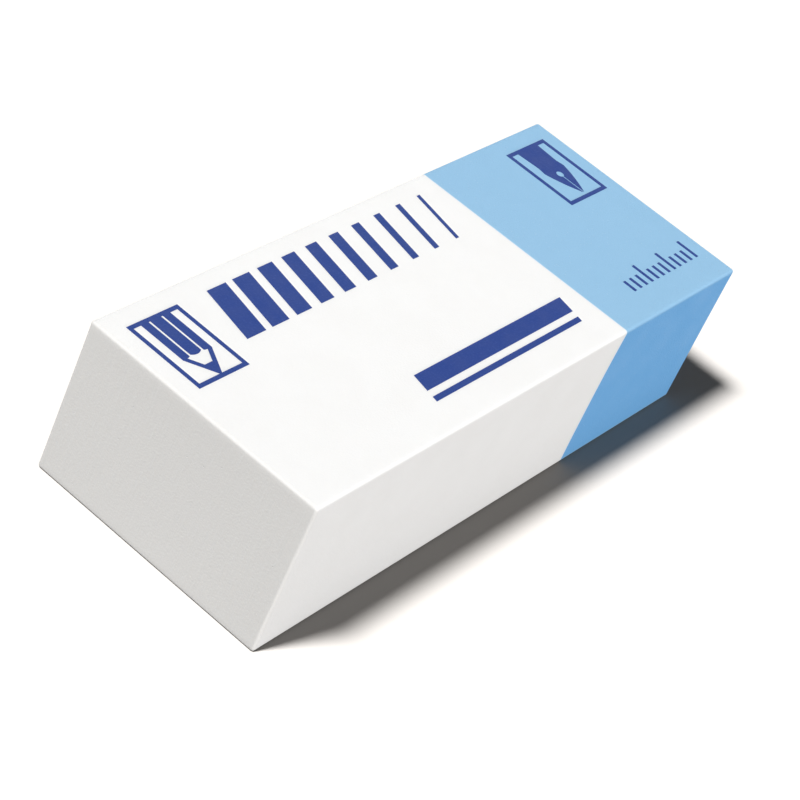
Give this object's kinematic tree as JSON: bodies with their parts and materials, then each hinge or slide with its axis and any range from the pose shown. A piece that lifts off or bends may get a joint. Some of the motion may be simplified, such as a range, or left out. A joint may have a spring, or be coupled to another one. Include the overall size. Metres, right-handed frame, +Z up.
{
  "type": "rubber eraser",
  "caption": "Rectangular two-compound rubber eraser, a white pencil block bonded to a light blue ink block, with plain printed marks on the top face.",
  "frame": {"origin": "under the middle of the block, on the plane that it rests on", "axes": "+X along the length towards the blue end, +Y to the back edge where the symbols are, +Z up through the printed face"},
  "size_m": [0.045, 0.017, 0.011],
  "materials": {
    "white_rubber": "matt white soft vinyl rubber with a very fine moulded texture and softened edges",
    "blue_rubber": "matt light blue rubber with a fine abrasive grit",
    "print_ink": "thin dark blue pad-printed ink with a faint satin sheen"
  },
  "bodies": {
    "root": {"pencil_block": "white_rubber", "ink_block": "blue_rubber", "pencil_symbol": "print_ink", "nib_symbol": "print_ink", "fading_bars": "print_ink", "double_rule": "print_ink", "tick_row": "print_ink"}
  },
  "joints": []
}
